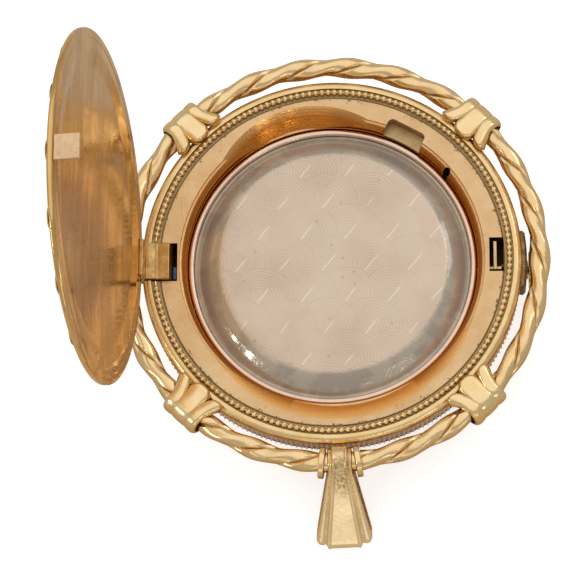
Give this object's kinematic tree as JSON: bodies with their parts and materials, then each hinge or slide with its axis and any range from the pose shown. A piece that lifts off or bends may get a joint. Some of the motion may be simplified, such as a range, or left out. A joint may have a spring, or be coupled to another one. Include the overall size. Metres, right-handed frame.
{
  "type": "pendant watch",
  "caption": "Open-back pendant watch: sprung cover on a hinge, sealed movement capsule, beaded and reeded gold case, twisted wire frame and swinging bail.",
  "frame": {"origin": "middle of the crystal's outer face, on which the watch lies", "axes": "+Z through the watch from the crystal to the back cover; the cover's hinge is at -X, its push piece and the crown at +X, the bail at -Y"},
  "size_m": [0.0411, 0.0439, 0.0379],
  "materials": {
    "yellow_gold": "polished yellow gold",
    "worn_gold": "worn yellow gold, softly brushed",
    "rose_gold": "rose gold, reeded",
    "cover_gold": "gold, brushed inside and polished outside",
    "capsule_metal": "nickel, spotted with fine circular graining",
    "blued_steel": "heat-blued spring steel",
    "steel": "polished steel",
    "gilt_brass": "gilt brass",
    "nickel_plate": "nickel silver, striped",
    "dial_enamel": "cream enamel",
    "crystal_clear": "clear, polished"
  },
  "bodies": {
    "case": {"case_body": "yellow_gold", "crystal": "crystal_clear", "reeded_band": "rose_gold", "back_bezel": "yellow_gold", "beaded_wire": "yellow_gold", "seat_ring": "worn_gold", "hinge_pin": "yellow_gold", "catch_spring": "steel", "lift_spring": "blued_steel", "pendant_tube": "yellow_gold", "capsule_cup": "capsule_metal", "capsule_back": "capsule_metal", "clasp_1": "yellow_gold", "clasp_2": "yellow_gold", "clasp_3": "yellow_gold", "clasp_4": "yellow_gold", "rope_frame": "yellow_gold", "collar_left": "yellow_gold", "collar_right": "yellow_gold", "bail_pin": "yellow_gold", "dial": "dial_enamel", "dial_markers": "blued_steel", "mainplate": "nickel_plate", "barrel_bridge": "nickel_plate", "train_bridge": "nickel_plate", "pallet_bridge": "nickel_plate", "balance_cock": "nickel_plate"},
    "cover": {"back_cover": "cover_gold", "cover_knuckle": "yellow_gold", "cover_catch_tab": "yellow_gold", "cover_ornaments": "cover_gold"},
    "bail_loop": {"bail": "yellow_gold"},
    "push": {"push_piece": "rose_gold"},
    "winding_gear": {"winding_pinion": "steel"},
    "stem": {"crown": "yellow_gold", "winding_stem": "steel"},
    "clutch": {"sliding_pinion": "steel"},
    "pull_lever": {"setting_lever": "steel"},
    "yoke": {"setting_yoke": "steel"},
    "crown_gear": {"crown_wheel": "steel"},
    "ratchet": {"ratchet_wheel": "steel", "barrel_arbor": "steel"},
    "click_pawl": {"click": "steel"},
    "barrel": {"mainspring_barrel": "gilt_brass", "mainspring": "blued_steel"},
    "centre": {"centre_wheel": "gilt_brass", "cannon_pinion": "steel", "minute_hand": "blued_steel"},
    "third": {"third_wheel": "gilt_brass"},
    "fourth": {"fourth_wheel": "gilt_brass"},
    "escape": {"escape_wheel": "steel"},
    "pallet": {"pallet_fork": "steel"},
    "balance": {"balance_wheel": "gilt_brass", "hairspring": "blued_steel"},
    "hour": {"hour_wheel": "gilt_brass", "hour_hand": "blued_steel"},
    "minute_gear": {"minute_wheel": "gilt_brass"},
    "setting_gear": {"setting_wheel": "steel"}
  },
  "joints": [
    {"name": "cover_hinge", "type": "hinge", "parent": "case", "child": "cover", "pos_m": [-0.01599, 0, 0.00706], "axis": [0, -1, 0], "range_deg": [-98.7, 0]},
    {"name": "bail_swing", "type": "hinge", "parent": "case", "child": "bail_loop", "pos_m": [0.00067, -0.01819, 0.0069], "axis": [-0.9993, -0.0366, 0], "range_deg": [-46, 130]},
    {"name": "push_piece_press", "type": "slide", "parent": "case", "child": "push", "axis": [-1, 0, 0], "range_m": [0, 0.00035], "stiffness_N_per_m": 2000, "springref_m": -0.0001},
    {"name": "crown_turn", "type": "hinge", "parent": "case", "child": "winding_gear", "pos_m": [0, 0, 0.00375], "axis": [1, 0, 0], "continuous": true},
    {"name": "crown_pull", "type": "slide", "parent": "winding_gear", "child": "stem", "axis": [1, 0, 0], "range_m": [0, 0.0007]},
    {"name": "clutch_slide", "type": "slide", "parent": "winding_gear", "child": "clutch", "axis": [-1, 0, 0], "range_m": [0, 0.00045]},
    {"name": "setting_lever_turn", "type": "hinge", "parent": "case", "child": "pull_lever", "pos_m": [0.00998, -0.00207, 0.0028], "axis": [0, 0, 1], "range_deg": [-20, 0]},
    {"name": "yoke_turn", "type": "hinge", "parent": "case", "child": "yoke", "pos_m": [0.0101, 0.00219, 0.0028], "axis": [0, 0, 1], "range_deg": [0, 8]},
    {"name": "crown_wheel_turn", "type": "hinge", "parent": "case", "child": "crown_gear", "pos_m": [0.00615, 0.00173, 0.005], "axis": [0, 0, 1], "continuous": true},
    {"name": "ratchet_turn", "type": "hinge", "parent": "case", "child": "ratchet", "pos_m": [0.00191, 0.00529, 0.00528], "axis": [0, 0, 1], "continuous": true},
    {"name": "click_turn", "type": "hinge", "parent": "case", "child": "click_pawl", "pos_m": [-0.00292, 0.00659, 0.00528], "axis": [0, 0, 1], "range_deg": [-12, 0], "stiffness_Nm_per_rad": 0.0004, "springref_deg": 2.86},
    {"name": "centre_turn", "type": "hinge", "parent": "case", "child": "centre", "pos_m": [0, 0, 0.004], "axis": [0, 0, 1], "continuous": true},
    {"name": "barrel_turn", "type": "hinge", "parent": "case", "child": "barrel", "pos_m": [0.00191, 0.00529, 0.004], "axis": [0, 0, 1], "continuous": true},
    {"name": "third_turn", "type": "hinge", "parent": "case", "child": "third", "pos_m": [-0.00381, -0.00139, 0.004], "axis": [0, 0, 1], "continuous": true},
    {"name": "fourth_turn", "type": "hinge", "parent": "case", "child": "fourth", "pos_m": [-0.00268, -0.00449, 0.004], "axis": [0, 0, 1], "continuous": true},
    {"name": "escape_turn", "type": "hinge", "parent": "case", "child": "escape", "pos_m": [0.00019, -0.00553, 0.0042], "axis": [0, 0, 1], "continuous": true},
    {"name": "pallet_rock", "type": "hinge", "parent": "case", "child": "pallet", "pos_m": [0.00275, -0.00599, 0.00465], "axis": [0, 0, 1], "range_deg": [-5, 5]},
    {"name": "balance_swing", "type": "hinge", "parent": "case", "child": "balance", "pos_m": [0.00595, -0.00501, 0.0042], "axis": [0, 0, 1], "range_deg": [-270, 270], "stiffness_Nm_per_rad": 0.00000003},
    {"name": "hour_turn", "type": "hinge", "parent": "case", "child": "hour", "pos_m": [0, 0, 0.0023], "axis": [0, 0, 1], "continuous": true},
    {"name": "minute_wheel_turn", "type": "hinge", "parent": "case", "child": "minute_gear", "pos_m": [0.002, -0.00093, 0.00285], "axis": [0, 0, 1], "continuous": true},
    {"name": "setting_wheel_turn", "type": "hinge", "parent": "case", "child": "setting_gear", "pos_m": [0.00461, -0.00008, 0.00285], "axis": [0, 0, 1], "continuous": true}
  ],
  "couplings": [
    {"joint": "clutch_slide", "follows": "crown_pull", "ratio": 0.64},
    {"joint": "setting_lever_turn", "follows": "crown_pull", "rad_per_m": -448.8},
    {"joint": "yoke_turn", "follows": "crown_pull", "rad_per_m": 174.53},
    {"joint": "crown_wheel_turn", "follows": "crown_turn", "ratio": -0.4},
    {"joint": "ratchet_turn", "follows": "crown_turn", "ratio": 0.3},
    {"joint": "barrel_turn", "follows": "centre_turn", "ratio": -0.125},
    {"joint": "third_turn", "follows": "centre_turn", "ratio": -8},
    {"joint": "fourth_turn", "follows": "centre_turn", "ratio": 60},
    {"joint": "escape_turn", "follows": "centre_turn", "ratio": -600},
    {"joint": "hour_turn", "follows": "centre_turn", "ratio": 0.083333},
    {"joint": "minute_wheel_turn", "follows": "centre_turn", "ratio": -0.33333},
    {"joint": "setting_wheel_turn", "follows": "centre_turn", "ratio": 0.5}
  ]
}
